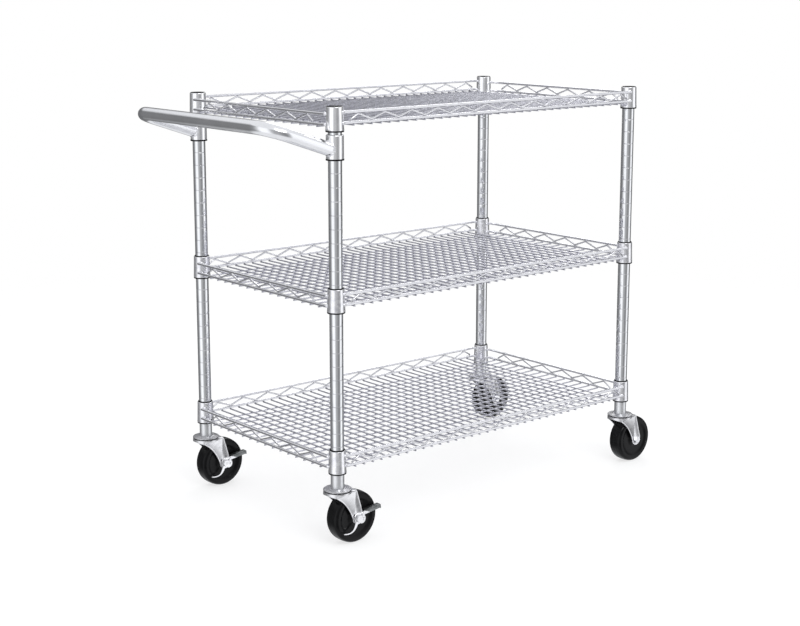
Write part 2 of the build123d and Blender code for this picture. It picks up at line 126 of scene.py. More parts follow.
# Casters: the fixed plate's outline as (radius, height over its foot), then the fork's crown and legs
PLATE_BORE_R = 6.0
PLATE_SEAT_R = 14.6
PLATE_PROFILE = (
    (PLATE_BORE_R, 0.8), (23.5, 0.8), (24.5, 0.0), (26.3, 0.0), (27.0, 0.6), (26.9, 1.5), (26.2, 2.1),
    (24.0, 2.4), (18.5, 2.8), (17.2, 3.1),
)
CROWN_R = 27.0
CROWN_THICKNESS = 4.0
CROWN_EDGE = 1.3
CROWN_NOSE_X = 27.5
CROWN_NOSE_R = 2.5
SKIRT_THICKNESS = 2.4
LEG_INSIDE = 18.0
LEG_THICKNESS = 3.0
LEG_REAR = -17.0
LEG_SKIRT_Z = 97.0
LEG_WAIST = (5.0, 77.5)
LEG_END_R = 12.5
LEG_FRONT = 30.4
LEG_TOP_DROP = 1.5
LEG_EDGE = 0.5
LEG_BORDER = 2.0
LEG_PRESS = 0.6
PRESS_SLOPE = 0.8
TREAD_HALF = 16.0

# Brakes: outlines and lobes are (x, z) from the axle; a lobe is centre, length, width and angle
LEVER_THICKNESS = 2.0
LEVER_EDGE = 0.35
LEVER_HUB_R = 10.5
LEVER_CAM = (8, -3)
LEVER_CAM_R = 8.5
LEVER_TOP = ((42.0, 11.0), (42.0, 14.6), (40.6, 15.7), (13.0, 11.9))
LEVER_TAIL_BACK = ((-8.8, -5.7), (-15.8, -21.6), (-34.0, -22.8))
LEVER_TAIL_TIP = ((-35.2, -23.3), (-35.3, -24.2), (-34.6, -24.8))
LEVER_TAIL_FRONT = ((-34.6, -24.8), (-14.3, -24.4), (-2.0, -10.3))
LEVER_ARM = ((14.0, 4.5), (30.0, 7.0), (40.8, 9.4))
LOBES = (((10.5, 6.5), 9.2, 6.4, 32), ((12.0, -3.5), 6.4, 4.8, -16))
LOBE_SINK = 0.4
LOBE_EDGE = 0.7
PEDAL_ROOT = (14.0, 14.5)
PEDAL_TIP = (46.5, 19.0)
PEDAL_THICKNESS = 2.4
PEDAL_LIP = 8.5
PEDAL_SIDE = 1.6
RIB_COUNT = 9
RIB_START = 5.0
RIB_PITCH = 3.1
RIB_INSET = 1.2
RIB = ((0.0, -0.2), (0.35, 0.25), (1.05, 0.25), (1.4, -0.2))


# ---------------------------------------------------------------- outlines

def arc(centre, radius, start, end, steps):
    """Points along a circle's arc, angles in degrees."""
    angles = [math.radians(start + (end - start) * i / steps) for i in range(steps + 1)]
    return [(centre[0] + radius * math.cos(a), centre[1] + radius * math.sin(a)) for a in angles]


def bow(start, middle, end, steps):
    """A smooth arc-like curve through three points."""
    control = [2 * middle[i] - (start[i] + end[i]) / 2 for i in (0, 1)]
    points = []
    for i in range(steps + 1):
        t = i / steps
        weights = ((1 - t) ** 2, 2 * t * (1 - t), t * t)
        points.append(tuple(sum(w * c for w, c in zip(weights, axis)) for axis in zip(start, control, end)))
    return points


def rounded(points, radius, steps=6):
    """A polyline in 3-D with every inner corner replaced by an arc of the given radius."""
    points = [Vector(p) for p in points]
    path = [points[0]]
    for before, corner, after in zip(points, points[1:], points[2:]):
        back, ahead = (before - corner).normalized(), (after - corner).normalized()
        half = back.angle(ahead) / 2
        reach = radius / math.tan(half)
        middle = corner + (back + ahead).normalized() * (radius / math.sin(half))
        first = (corner + back * reach - middle).normalized()
        last = (corner + ahead * reach - middle).normalized()
        path += [middle + first.slerp(last, i / steps) * radius for i in range(steps + 1)]
    return path + [points[-1]]


# ---------------------------------------------------------------- mesh helpers

def lathe(bm, profile, at, axis="Z", sides=64, sweep=(0.0, 360.0)):
    """A solid of revolution from a closed profile of (radius, height), about Z or Y."""
    start, end = (math.radians(a) for a in sweep)
    whole = abs(end - start - 2 * math.pi) < 1e-6
    count = sides if whole else sides + 1
    rings = []
    for i in range(count):
        angle = start + (end - start) * i / sides
        c, s = math.cos(angle), math.sin(angle)
        ring = []
        for radius, height in profile:
            place = (radius * c, radius * s, height) if axis == "Z" else (radius * c, height, radius * s)
            ring.append(bm.verts.new(Vector(at) + Vector(place) * MM))
        rings.append(ring)
    for i in range(sides):
        one, two = rings[i], rings[(i + 1) % count]
        for j in range(len(profile)):
            k = (j + 1) % len(profile)
            if profile[j][0] < 1e-9 and profile[k][0] < 1e-9:
                continue
            corners = []
            for vert in (one[j], one[k], two[k], two[j]):
                if all((vert.co - other.co).length > 1e-9 for other in corners):
                    corners.append(vert)
            if len(corners) > 2:
                bm.faces.new(corners)
    if not whole:
        bm.faces.new(rings[0])
        bm.faces.new(rings[-1])


def tube(bm, path, radius, sides=14, closed=False):
    """A round wire along a path of points in metres, with slightly domed ends."""
    radius *= MM
    path = [Vector(p) for p in path]
    count = len(path)
    tangents = []
    for i in range(count):
        before = path[i - 1] if closed or i else path[0]
        after = path[(i + 1) % count] if closed or i < count - 1 else path[-1]
        tangents.append((after - before).normalized())
    normal = tangents[0].orthogonal().normalized()
    rings = []
    stations = [(p, t, radius) for p, t in zip(path, tangents)]
    if not closed:
        dome = 0.35 * radius
        first, last = stations[0], stations[-1]
        stations[0] = (first[0] + first[1] * dome, first[1], radius)
        stations[-1] = (last[0] - last[1] * dome, last[1], radius)
        stations.insert(0, (first[0], first[1], 0.65 * radius))
        stations.append((last[0], last[1], 0.65 * radius))
    for centre, tangent, size in stations:
        normal = (normal - tangent * normal.dot(tangent)).normalized()
        side = tangent.cross(normal)
        turns = [2 * math.pi * k / sides for k in range(sides)]
        spokes = [normal * math.cos(a) + side * math.sin(a) for a in turns]
        rings.append([bm.verts.new(centre + spoke * size) for spoke in spokes])
    spans = len(rings) if closed else len(rings) - 1
    for i in range(spans):
        one, two = rings[i], rings[(i + 1) % len(rings)]
        for k in range(sides):
            bm.faces.new((one[k], one[(k + 1) % sides], two[(k + 1) % sides], two[k]))
    if not closed:
        bm.faces.new(rings[0][::-1])
        bm.faces.new(rings[-1])


def slab(bm, outline, place, thickness, bevel=0.5, pressed=None):
    """A plate from a closed outline in (u, v), thickened along w; place maps (u, v, w) to metres.

    pressed is (border, depth), and sinks the far face inside a raised border.
    """
    low = [bm.verts.new(place @ Vector((u, v, 0))) for u, v in outline]
    high = [bm.verts.new(place @ Vector((u, v, thickness))) for u, v in outline]
    count = len(outline)
    base, top = bm.faces.new(low[::-1]), bm.faces.new(high)
    pairs = [(i, (i + 1) % count) for i in range(count)]
    sides = [bm.faces.new((low[i], low[k], high[k], high[i])) for i, k in pairs]
    bmesh.ops.recalc_face_normals(bm, faces=[base, top, *sides])
    rims = [*base.edges, *top.edges]
    if bevel:
        bmesh.ops.bevel(
            bm, geom=rims, offset=bevel * MM, segments=2, profile=0.6, affect="EDGES", clamp_overlap=True)
    if pressed:
        border, depth = pressed
        outward = (place.to_3x3() @ Vector((0, 0, 1))).normalized()
        level = (place @ Vector((0, 0, thickness))).dot(outward)
        broad, facing, near = 1e-4, 0.99, 1e-5
        faces = [f for f in bm.faces if f.calc_area() > broad and f.normal.dot(outward) > facing]
        faces = [f for f in faces if abs(f.calc_center_median().dot(outward) - level) < near]
        bmesh.ops.inset_region(bm, faces=faces, thickness=border * MM, depth=0.0)
        bmesh.ops.inset_region(bm, faces=faces, thickness=PRESS_SLOPE * MM, depth=-depth * MM)


def blob(bm, at, size, turn=0.0):
    """A weld bead: a squashed ball with a slightly uneven skin."""
    made = bmesh.ops.create_icosphere(bm, subdivisions=2, radius=1.0)["verts"]
    for vert in made:
        ripple = 1 + 0.07 * math.sin(9 * vert.co.x + 5 * vert.co.y + turn) * math.cos(7 * vert.co.z)
        vert.co = Vector(at) + Vector([vert.co[i] * size[i] * ripple * MM for i in range(3)])


def finish_piece(name, bm, body, material, replaces=(), smooth=38):
    """Turn a bmesh into a piece that rides on a body and stands for the given CAD nodes."""
    bmesh.ops.remove_doubles(bm, verts=bm.verts, dist=1e-7)
    bmesh.ops.recalc_face_normals(bm, faces=bm.faces)
    mesh = bpy.data.meshes.new(name)
    bm.to_mesh(mesh)
    bm.free()
    mesh.shade_smooth()
    mesh.set_sharp_from_angle(angle=math.radians(smooth))
    piece = bpy.data.objects.new(name, mesh)
    bpy.context.scene.collection.objects.link(piece)
    mesh.materials.append(material)
    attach(piece, body)
    if replaces:
        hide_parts(*replaces)
    return piece


# ---------------------------------------------------------------- materials

class Material:
    """A principled material with short calls for the texture nodes it is built from."""

    def __init__(self, name):
        self.material = bpy.data.materials.new(name)
        self.material.use_nodes = True
        self.tree = self.material.node_tree
        self.shader = self.tree.nodes["Principled BSDF"]
        self.place = self.node("ShaderNodeTexCoord").outputs["Object"]

    def node(self, kind, **settings):
        made = self.tree.nodes.new(kind)
        for key, value in settings.items():
            setattr(made, key, value)
        return made

    def set(self, **values):
        for key, value in values.items():
            self.shader.inputs[key.replace("_", " ")].default_value = value
        return self

    def noise(self, scale, stretch=(1, 1, 1), detail=4.0, roughness=0.55):
        """Noise over the object, stretched along any axis; scale is in features per metre."""
        mapping = self.node("ShaderNodeMapping")
        mapping.inputs["Scale"].default_value = stretch
        texture = self.node("ShaderNodeTexNoise")
        texture.inputs["Scale"].default_value = scale
        texture.inputs["Detail"].default_value = detail
        texture.inputs["Roughness"].default_value = roughness
        self.tree.links.new(self.place, mapping.inputs["Vector"])
        self.tree.links.new(mapping.outputs["Vector"], texture.inputs["Vector"])
        return texture.outputs["Fac"]

    def ramp(self, value, stops):
        """A colour ramp over a value, between two stops of (position, colour)."""
        ramp = self.node("ShaderNodeValToRGB")
        for element, (position, colour) in zip(ramp.color_ramp.elements, stops):
            element.position = position
            element.color = (*colour, 1.0)
        self.tree.links.new(value, ramp.inputs["Fac"])
        return ramp.outputs["Color"]

    def spread(self, value, low, high, start=0.3, end=0.7):
        """Map a value between start and end to low and high."""
        spread = self.node("ShaderNodeMapRange")
        for key, number in (("From Min", start), ("From Max", end), ("To Min", low), ("To Max", high)):
            spread.inputs[key].default_value = number
        self.tree.links.new(value, spread.inputs["Value"])
        return spread.outputs["Result"]

    def drive(self, socket, output):
        self.tree.links.new(output, self.shader.inputs[socket])
        return self

    def bump(self, value, strength, distance):
        bump = self.node("ShaderNodeBump")
        bump.inputs["Strength"].default_value = strength
        bump.inputs["Distance"].default_value = distance * MM
        self.tree.links.new(value, bump.inputs["Height"])
        return self.drive("Normal", bump.outputs["Normal"])


# The satin finish ends between these heights, in metres
SATIN_HEIGHTS = (0.1385, 0.1395)


def chrome(
        name, light, dark, gloss, grain, stretch=(1, 1, 1), satin=0.0, metal=1.0, relief=0.10, mottle=26.0):
    """Chrome plate: a faint cloudiness in colour and gloss, and fine draw lines.

    satin is the roughness added to the unpolished stretch of post below the bottom shelf.
    """
    made = Material(name).set(Metallic=metal)
    cloud = made.noise(mottle, detail=5.0)
    lines = made.noise(grain, stretch=stretch, detail=3.0)
    made.drive("Base Color", made.ramp(cloud, ((0.32, dark), (0.68, light))))
    haze = made.spread(cloud, gloss[0], gloss[1])
    if satin:
        height = made.node("ShaderNodeSeparateXYZ")
        made.tree.links.new(made.place, height.inputs["Vector"])
        added = made.node("ShaderNodeMath", operation="ADD")
        made.tree.links.new(haze, added.inputs[0])
        dulled = made.spread(height.outputs["Z"], satin, 0.0, *SATIN_HEIGHTS)
        made.tree.links.new(dulled, added.inputs[1])
        haze = added.outputs["Value"]
    made.drive("Roughness", haze)
    made.bump(lines, relief, 0.05)
    return made.material


def zinc(name, light, dark, gloss, relief):
    """Zinc-plated pressed steel: a soft spangle, dull patches and a slightly orange-peel skin.

    relief is the height of the skin's bumps, in millimetres.
    """
    made = Material(name).set(Metallic=1.0)
    spangle = made.noise(150.0, detail=2.0)
    patch = made.noise(38.0, detail=6.0, roughness=0.62)
    made.drive("Base Color", made.ramp(patch, ((0.30, dark), (0.72, light))))
    made.drive("Roughness", made.spread(spangle, gloss[0], gloss[1]))
    made.bump(spangle, 0.22, relief)
    return made.material


def wheel_black():
    """Hard black rubber, greyer and duller in dusty patches."""
    blacks = ((0.35, (0.003, 0.003, 0.0035)), (0.75, (0.009, 0.009, 0.0095)))
    made = Material("wheel_black").set(Metallic=0.0, IOR=1.5, Specular_IOR_Level=0.14)
    dust = made.noise(60.0, detail=8.0, roughness=0.7)
    grain = made.noise(900.0, detail=2.0)
    made.drive("Base Color", made.ramp(dust, blacks))
    made.drive("Roughness", made.spread(dust, 0.10, 0.30))
    made.bump(grain, 0.12, 0.04)
    return made.material


def moulded_black():
    """Satin black plastic with a fine moulded grain."""
    blacks = ((0.3, (0.003, 0.003, 0.004)), (0.7, (0.008, 0.008, 0.009)))
    made = Material("moulded_black").set(Metallic=0.0, IOR=1.46, Specular_IOR_Level=0.10)
    grain = made.noise(1400.0, detail=3.0)
    patch = made.noise(70.0)
    made.drive("Base Color", made.ramp(patch, blacks))
    made.drive("Roughness", made.spread(patch, 0.38, 0.52))
    made.bump(grain, 0.3, 0.05)
    return made.material


# gloss is the roughness of the brightest and dullest patches; grain and mottle are in features per metre
MATERIALS = {
    "chrome_tube": chrome(
        "chrome_tube", light=(0.88, 0.89, 0.90), dark=(0.80, 0.81, 0.83), gloss=(0.06, 0.13),
        grain=1500.0, stretch=(1, 1, 0.02), satin=0.3),
    "chrome_collar": chrome(
        "chrome_collar", light=(0.98, 0.98, 0.99), dark=(0.76, 0.76, 0.80), gloss=(0.10, 0.26),
        grain=260.0, metal=0.87, relief=0.25, mottle=140.0),
    "chrome_wire": chrome(
        "chrome_wire", light=(0.78, 0.78, 0.80), dark=(0.68, 0.68, 0.71), gloss=(0.14, 0.26), grain=900.0),
    "chrome_deck": chrome(
        "chrome_deck", light=(0.61, 0.61, 0.66), dark=(0.52, 0.52, 0.57), gloss=(0.20, 0.32), grain=900.0),
    "zinc_steel": zinc(
        "zinc_steel", light=(0.90, 0.90, 0.91), dark=(0.74, 0.74, 0.76), gloss=(0.22, 0.38), relief=0.10),
    "bearing_steel": zinc(
        "bearing_steel", light=(0.66, 0.67, 0.69), dark=(0.50, 0.51, 0.53), gloss=(0.12, 0.22),
        relief=0.02),
    "pedal_steel": zinc(
        "pedal_steel", light=(0.36, 0.37, 0.37), dark=(0.14, 0.15, 0.15), gloss=(0.34, 0.56), relief=0.45),
    "black_wheel": wheel_black(),
    "black_plastic": moulded_black(),
}

# Variants for pieces that share a slot but look a little different from the slot's other pieces; the darker
# groove chrome is painted shade and the brighter collar copy is painted light
VARIANTS = {
    # Darker chrome for the groove faces: painted shade in the post's grooves
    "groove": chrome(
        "chrome_groove_shade", light=(0.74, 0.74, 0.76), dark=(0.60, 0.60, 0.62), gloss=(0.20, 0.36),
        grain=900.0),
    # A brighter copy of the collar chrome for the top shelf's and the handle's collars: painted light
    "lit_collar": chrome(
        "chrome_collar_lit", light=(0.98, 0.98, 0.99), dark=(0.92, 0.92, 0.94), gloss=(0.05, 0.12),
        grain=200.0, metal=0.88, relief=0.06, mottle=70.0),
    "handle": chrome(
        "chrome_handle", light=(0.90, 0.90, 0.92), dark=(0.82, 0.83, 0.85), gloss=(0.10, 0.24),
        grain=420.0, relief=0.06),
    "plate": zinc(
        "zinc_plate", light=(0.64, 0.64, 0.65), dark=(0.44, 0.44, 0.46), gloss=(0.24, 0.44), relief=0.12),
    "cam": zinc(
        "zinc_cam", light=(0.92, 0.92, 0.93), dark=(0.70, 0.70, 0.72), gloss=(0.05, 0.18), relief=0.20),
}


def piece(name, bm, body, slot, replaces=(), smooth=38, variant=None):
    """A finished piece in its slot's material, or in one of the variants."""
    return finish_piece(name, bm, body, VARIANTS.get(variant) or MATERIALS[slot], replaces, smooth)


# ---------------------------------------------------------------- places in the frame

def middle(node):
    low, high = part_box(node)
    return (low + high) / 2


POST_AXIS = {corner: middle(f"post_{corner}") for corner in CORNERS}
AXLE = {corner: middle(f"wheel_{corner}") for corner in CORNERS}
SHELF_FOOT = {shelf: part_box(f"{shelf}_collars")[0].z for shelf in SHELVES}
HANDLE_COLLAR_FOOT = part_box("handle_collars")[0].z


def on_post(corner, height):
    """A point on a post's axis, height in metres."""
    axis = POST_AXIS[corner]
    return Vector((axis.x, axis.y, height))


# ---------------------------------------------------------------- posts

def make_post(corner):
    """The grooved tube, each groove with softly rolled lips."""
    node = f"post_{corner}"
    low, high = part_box(node)
    foot, top = low.z / MM, high.z / MM
    inner = POST_R - POST_WALL
    profile = [(inner, foot), (POST_R - POST_FOOT_ROUND, foot), (POST_R, foot + POST_FOOT_ROUND)]
    first = SHELF_FOOT["bottom_shelf"] / MM
    for step in range(1, GROOVE_COUNT + 1):
        groove = first + step * INCH
        for depth, offset in GROOVE:
            profile.append((POST_R - depth, groove + offset))
    profile += [(POST_R, top - POST_TOP_ROUND), (POST_R - POST_TOP_ROUND, top), (inner, top)]
    bm = bmesh.new()
    axis = on_post(corner, 0.0)
    lathe(bm, profile, axis, sides=72)
    tube_piece = piece(f"{node}_tube", bm, "frame", "chrome_tube", (node,), smooth=24)
    mesh = tube_piece.data
    # The groove faces take the darker chrome: painted shade in the grooves
    mesh.materials.append(VARIANTS["groove"])
    shallow, deep = GROOVE_SHADE_DEPTHS
    for face in mesh.polygons:
        depth = POST_R - (face.center - axis).xy.length / MM
        if shallow < depth < deep:
            face.material_index = 1


def make_caps():
    """The plastic plugs: a shank in the tube, a rounded head and a shallow dish in its top."""
    top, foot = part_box("post_caps")[1].z / MM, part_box("post_rear_right")[1].z / MM
    profile = [(0, foot - CAP_PLUG_DEPTH), (CAP_PLUG_R, foot - CAP_PLUG_DEPTH), (CAP_PLUG_R, foot)]
    profile += [(POST_R, foot), (POST_R, top - CAP_ROUND)]
    profile += arc((POST_R - CAP_ROUND, top - CAP_ROUND), CAP_ROUND, 0, 90, 4)[1:]
    dish = top - CAP_DISH_DEPTH
    profile += [(CAP_DISH_R, top), (CAP_DISH_R - CAP_DISH_DEPTH, dish), (0, dish)]
    bm = bmesh.new()
    for corner in CORNERS:
        lathe(bm, profile, on_post(corner, 0.0), sides=48)
    piece("cap_plugs", bm, "frame", "black_plastic", ("post_caps",))


# ---------------------------------------------------------------- shelves

def make_collars(shelf):
    """Tapered collars with a rolled foot, a soft crown edge and a faint shoulder line."""
    foot_round, top_round = COLLAR_FOOT_ROUND, COLLAR_TOP_ROUND
    out, down = COLLAR_CROWN
    profile = [(SLEEVE_R_FOOT, 0.0), (COLLAR_R_FOOT - foot_round, 0.0)]
    profile += arc((COLLAR_R_FOOT - foot_round, foot_round), foot_round, -90, 0, 4)[1:]
    profile += [(COLLAR_R_FOOT - inset, height) for inset, height in COLLAR_SHOULDER]
    profile += [(COLLAR_R_TOP + out, COLLAR_HEIGHT - down)]
    profile += arc((COLLAR_R_TOP - top_round, COLLAR_HEIGHT - top_round), top_round, 10, 90, 4)
    profile += [(SLEEVE_R_TOP, COLLAR_HEIGHT)]
    bm = bmesh.new()
    for corner in CORNERS:
        lathe(bm, profile, on_post(corner, SHELF_FOOT[shelf]), sides=72)
    node = f"{shelf}_collars"
    # The top shelf's collars take the brighter copy of the collar chrome: painted light
    finish = "lit_collar" if shelf == "top_shelf" else None
    piece(f"{shelf}_collar_rings", bm, "frame", "chrome_collar", (node,), smooth=30, variant=finish)


def sleeve_profile(rise):
    """A sleeve's section: a lip below the collar, a wedge in it, and a rim that stands proud by rise."""
    bore = POST_R + SLEEVE_CLEARANCE
    lip, foot, top = SLEEVE_LIP_R, -SLEEVE_LIP, COLLAR_HEIGHT + rise
    soft, fine = SLEEVE_LIP_ROUND, SLEEVE_RIM_ROUND
    return [
        (bore, foot + soft), (bore + soft, foot), (lip - soft, foot), (lip, foot + soft), (lip, 0.0),
        (SLEEVE_R_FOOT, 0.0), (SLEEVE_R_TOP, COLLAR_HEIGHT), (SLEEVE_R_TOP, top - fine),
        (SLEEVE_R_TOP - fine, top), (bore + fine, top), (bore, top - fine),
    ]


def make_sleeves(node, foot, corners, rise=SLEEVE_RISE):
    """Split sleeves: two halves each, parted by a narrow slot."""
    half = 180 - 2 * SLEEVE_SLOT
    bm = bmesh.new()
    for corner in corners:
        for start in (90 + SLEEVE_SLOT, 270 + SLEEVE_SLOT):
            lathe(bm, sleeve_profile(rise), on_post(corner, foot), sides=32, sweep=(start, start + half))
    piece(f"{node}_rims", bm, "frame", "black_plastic", (node,))


def rail_heights(low, high):
    """The centre heights of the lower and upper rails, on the long sides and on the short sides."""
    radius = RAIL_R * MM
    step = 2 * DECK_R * MM
    return (low.z + radius + step, high.z - radius), (low.z + radius, high.z - radius - step)


def make_rails(shelf):
    """Double perimeter wires with a weld bead at each collar."""
    node = f"{shelf}_rails"
    low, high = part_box(node)
    radius = RAIL_R * MM
    long_heights, short_heights = rail_heights(low, high)
    rear, front = POST_AXIS["rear_right"], POST_AXIS["front_left"]
    short, beside = RAIL_INSET * MM, BEAD_INSET * MM
    along, inward = BEAD_ALONG * MM, BEAD_IN * MM
    length, width, height_r = BEAD_SIZE
    bm = bmesh.new()
    beads = bmesh.new()
    for height in long_heights:
        for y, side in ((low.y + radius, -1), (high.y - radius, 1)):
            tube(bm, [(rear.x + short, y, height), (front.x - short, y, height)], RAIL_R, sides=20)
            for x, way in ((rear.x + beside, 1), (front.x - beside, -1)):
                spot = (x + way * along, y - side * inward, height)
                blob(beads, spot, (length, width, height_r), turn=x * BEAD_TURN)
    for height in short_heights:
        for x, side in ((low.x + radius, -1), (high.x - radius, 1)):
            tube(bm, [(x, rear.y + short, height), (x, front.y - short, height)], RAIL_R, sides=20)
            for y, way in ((rear.y + beside, 1), (front.y - beside, -1)):
                spot = (x - side * inward, y + way * along, height)
                blob(beads, spot, (width, length, height_r), turn=y * BEAD_TURN)
    piece(f"{shelf}_rail_wires", bm, "frame", "chrome_wire", (node,))
    piece(f"{shelf}_weld_beads", beads, "frame", "chrome_collar", smooth=180)


def zigzag(centre, along, peaks, low_height, high_height):
    """The path of a truss wire, bent between two rails' centre heights."""
    run = TRUSS_PITCH / 2 * MM
    margin = (RAIL_R + TRUSS_R - WELD_SINK) * MM
    valley, peak = low_height + margin, high_height - margin
    over = TRUSS_BEND_R * MM * (1 / math.cos(math.atan2(peak - valley, run)) - 1)
    heights = (peak + over, valley - over)
    offsets = [(i - peaks + 1) * run for i in range(2 * peaks - 1)]
    steps = [(offset, heights[i % 2]) for i, offset in enumerate(offsets)]
    end = offsets[-1] + TRUSS_TAIL * MM
    steps = [(-end, valley), *steps, (end, valley)]
    points = [Vector((centre.x, centre.y, height)) + along * offset for offset, height in steps]
    return rounded(points, TRUSS_BEND_R * MM, steps=7)


def make_truss(shelf):
    """The zigzag wires, their bends sunk a little into the rails as at a resistance weld."""
    low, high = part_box(f"{shelf}_rails")
    radius = RAIL_R * MM
    centre = (low + high) / 2
    long_heights, short_heights = rail_heights(low, high)
    bm = bmesh.new()
    for y in (low.y + radius, high.y - radius):
        path = zigzag(Vector((centre.x, y, 0)), Vector((1, 0, 0)), LONG_PEAKS, *long_heights)
        tube(bm, path, TRUSS_R, sides=12)
    for x in (low.x + radius, high.x - radius):
        path = zigzag(Vector((x, centre.y, 0)), Vector((0, 1, 0)), SHORT_PEAKS, *short_heights)
        tube(bm, path, TRUSS_R, sides=12)
    piece(f"{shelf}_zigzag_wires", bm, "frame", "chrome_wire", (f"{shelf}_truss_wires",), smooth=60)


def make_deck(shelf):
    """Cross wires over long wires, sunk slightly together at every weld."""
    radius = DECK_R * MM
    low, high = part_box(f"{shelf}_cross_wires")
    pitch = (high.x - low.x - 2 * radius) / (CROSS_WIRES - 1)
    height = (low.z + high.z) / 2
    bm = bmesh.new()
    for i in range(CROSS_WIRES):
        x = low.x + radius + i * pitch
        tube(bm, [(x, low.y, height), (x, high.y, height)], DECK_R, sides=14)
    piece(f"{shelf}_deck_cross_wires", bm, "frame", "chrome_deck", (f"{shelf}_cross_wires",))
    low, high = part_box(f"{shelf}_long_wires")
    pitch = (high.y - low.y - 2 * radius) / (LONG_WIRES - 1)
    height = (low.z + high.z) / 2 + WELD_SINK * MM
    bm = bmesh.new()
    for i in range(LONG_WIRES):
        y = low.y + radius + i * pitch
        tube(bm, [(low.x, y, height), (high.x, y, height)], DECK_R, sides=14)
    piece(f"{shelf}_deck_long_wires", bm, "frame", "chrome_deck", (f"{shelf}_long_wires",))


# ---------------------------------------------------------------- handle

def handle_path():
    """The U's centre line: up from one post, across, and back to the other post."""
    low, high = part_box("handle_bar")
    radius = POST_R * MM
    bar = Vector((low.x + radius, 0, high.z - radius))
    post = POST_AXIS["rear_right"]
    root_height = bar.z - (post.x - bar.x) * math.tan(HANDLE_TILT)
    inset = HANDLE_INSET * MM
    roots = [Vector((post.x - inset, y, root_height + inset * math.tan(HANDLE_TILT)))
             for y in (low.y + radius, high.y - radius)]
    corners = [Vector((bar.x, root.y, bar.z)) for root in roots]
    return rounded([roots[0], corners[0], corners[1], roots[1]], HANDLE_BEND_R * MM, steps=18)


def handle_bead(root, ahead, corner):
    """The closed line where the handle's tube meets its collar, slightly rippled."""
    along = (ahead - root).normalized()
    side = Vector((0, 1, 0))
    up = side.cross(along) if side.cross(along).z > 0 else along.cross(side)
    axis = POST_AXIS[corner]
    reach = HANDLE_COLLAR_R * MM
    ring = []
    for i in range(HANDLE_BEAD_STEPS):
        angle = 2 * math.pi * i / HANDLE_BEAD_STEPS
        spoke = side * math.cos(angle) + up * math.sin(angle)
        start = root + spoke * (POST_R + HANDLE_BEAD_LIFT) * MM
        across = start.y - axis.y
        depth = math.sqrt(max(reach * reach - across * across, 0))
        travel = (axis.x - depth - start.x) / along.x
        ripple = HANDLE_RIPPLE * MM * math.sin(angle * HANDLE_RIPPLES)
        ring.append(start + along * (travel + ripple))
    return ring


def make_handle():
    """The U of tube, and the weld bead round each of its ends."""
    path = handle_path()
    bm = bmesh.new()
    tube(bm, path, POST_R, sides=64)
    piece("handle_tube", bm, "frame", "chrome_tube", ("handle_bar",), variant="handle")
    beads = bmesh.new()
    for root, ahead, corner in ((path[0], path[1], "rear_right"), (path[-1], path[-2], "rear_left")):
        tube(beads, handle_bead(root, ahead, corner), HANDLE_BEAD_R, sides=10, closed=True)
    piece("handle_weld_beads", beads, "frame", "chrome_collar", smooth=180)


def make_handle_collars():
    """Straight collars with a rounded shoulder."""
    node = "handle_collars"
    height = (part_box(node)[1].z - HANDLE_COLLAR_FOOT) / MM
    radius, foot_round, shoulder = HANDLE_COLLAR_R, COLLAR_FOOT_ROUND, HANDLE_SHOULDER
    profile = [(SLEEVE_R_FOOT, 0.0), (radius - foot_round, 0.0)]
    profile += arc((radius - foot_round, foot_round), foot_round, -90, 0, 4)[1:]
    profile += arc((radius - shoulder, height - shoulder), shoulder, 0, 90, 6)
    profile += [(SLEEVE_R_TOP, height), (SLEEVE_R_TOP, COLLAR_HEIGHT)]
    bm = bmesh.new()
    for corner in BRAKED:
        lathe(bm, profile, on_post(corner, HANDLE_COLLAR_FOOT), sides=72)
    # The handle collars take the same brighter collar chrome: painted light
    piece("handle_collar_rings", bm, "frame", "chrome_collar", (node,), smooth=30, variant="lit_collar")


# ---------------------------------------------------------------- casters

def make_top_plates():
    """The fixed race: a coned cap with a rolled rim and a raised seat for the post."""
    node = "caster_top_plates"
    low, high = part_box(node)
    foot, seat = low.z / MM, high.z / MM
    profile = [(radius, foot + height) for radius, height in PLATE_PROFILE]
    profile += [(PLATE_SEAT_R + 0.8, seat - 0.2), (PLATE_SEAT_R, seat), (PLATE_BORE_R, seat)]
    bm = bmesh.new()
    for corner in CORNERS:
        lathe(bm, profile, on_post(corner, 0.0), sides=72)
    piece("caster_race_plates", bm, "frame", "zinc_steel", (node,), smooth=30, variant="plate")


def millimetres(at):
    """Maps millimetres round a point to the frame's metres."""
    return Matrix.Translation(at) @ Matrix.Diagonal((MM, MM, MM, 1))


def upright(side):
    """Turns (u, v, w) to x, z and outwards, where outwards is +Y for side 1 and -Y for side -1."""
    return Matrix(((1, 0, 0, 0), (0, 0, side, 0), (0, 1, 0, 0), (0, 0, 0, 1)))


def leg_outline(trail, axle, top):
    """One fork leg seen from the side, in the swivel axis's x and height above the floor."""
    end_r = LEG_END_R
    outline = [(LEG_REAR, top), *bow((LEG_REAR, LEG_SKIRT_Z), LEG_WAIST, (trail - end_r, axle), 16)]
    outline += arc((trail, axle), end_r, 180, 360, 18)[1:]
    outline += [(trail + end_r - 0.4, axle + 6.0), (LEG_FRONT, top - 1.5), (LEG_FRONT - 0.9, top)]
    return outline


